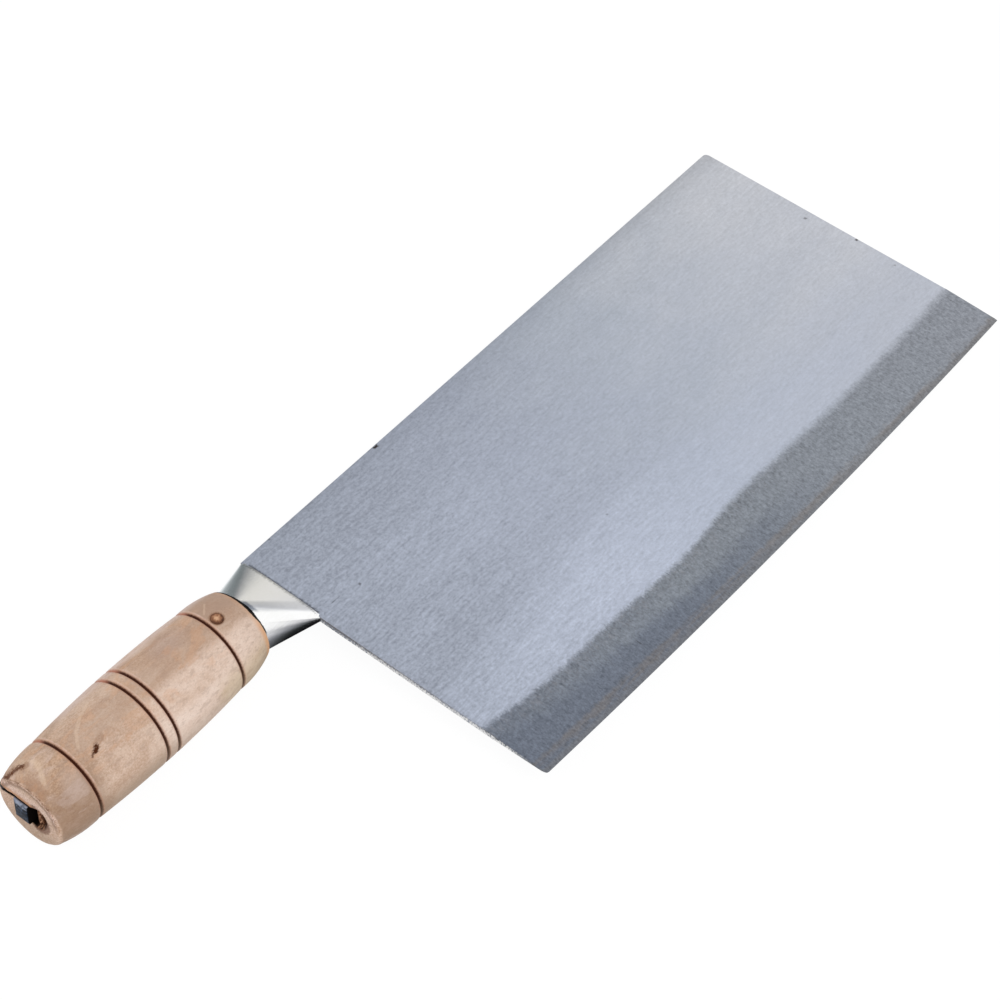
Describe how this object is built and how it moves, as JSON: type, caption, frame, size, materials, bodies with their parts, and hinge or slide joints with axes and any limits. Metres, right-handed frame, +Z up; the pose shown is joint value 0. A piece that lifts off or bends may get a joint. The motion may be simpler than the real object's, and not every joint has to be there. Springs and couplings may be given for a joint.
{
  "type": "chinese cleaver",
  "caption": "Wide laminated kitchen cleaver with a flared steel bolster and a turned, grooved wooden handle pinned and wedged on a full-length tang, lying on its flank.",
  "frame": {"origin": "middle of the bottom of the part's box, on the table plane that the knife lies on", "axes": "+X along the knife from the butt of the handle to the blade's front end, +Y across the blade from the edge to the spine, +Z up out of the table, on the side of the right flank"},
  "size_m": [0.3114, 0.1106, 0.0297],
  "materials": {
    "core_steel": "hard carbon steel, fine scratches across the edge",
    "cladding_steel": "satin, ground along the blade, darker where the bevel is ground",
    "tang_steel": "dark forged steel with a sheared end",
    "bolster_steel": "polished steel",
    "handle_wood": "bare turned hardwood with burnt grooves",
    "pin_copper": "dull copper, riveted ends",
    "wedge_wood": "split wood"
  },
  "bodies": {
    "root": {"blade_core": "core_steel", "right_cladding": "cladding_steel", "left_cladding": "cladding_steel", "tang": "tang_steel", "bolster": "bolster_steel", "handle": "handle_wood", "handle_pin": "pin_copper", "tang_wedge": "wedge_wood"}
  },
  "joints": []
}
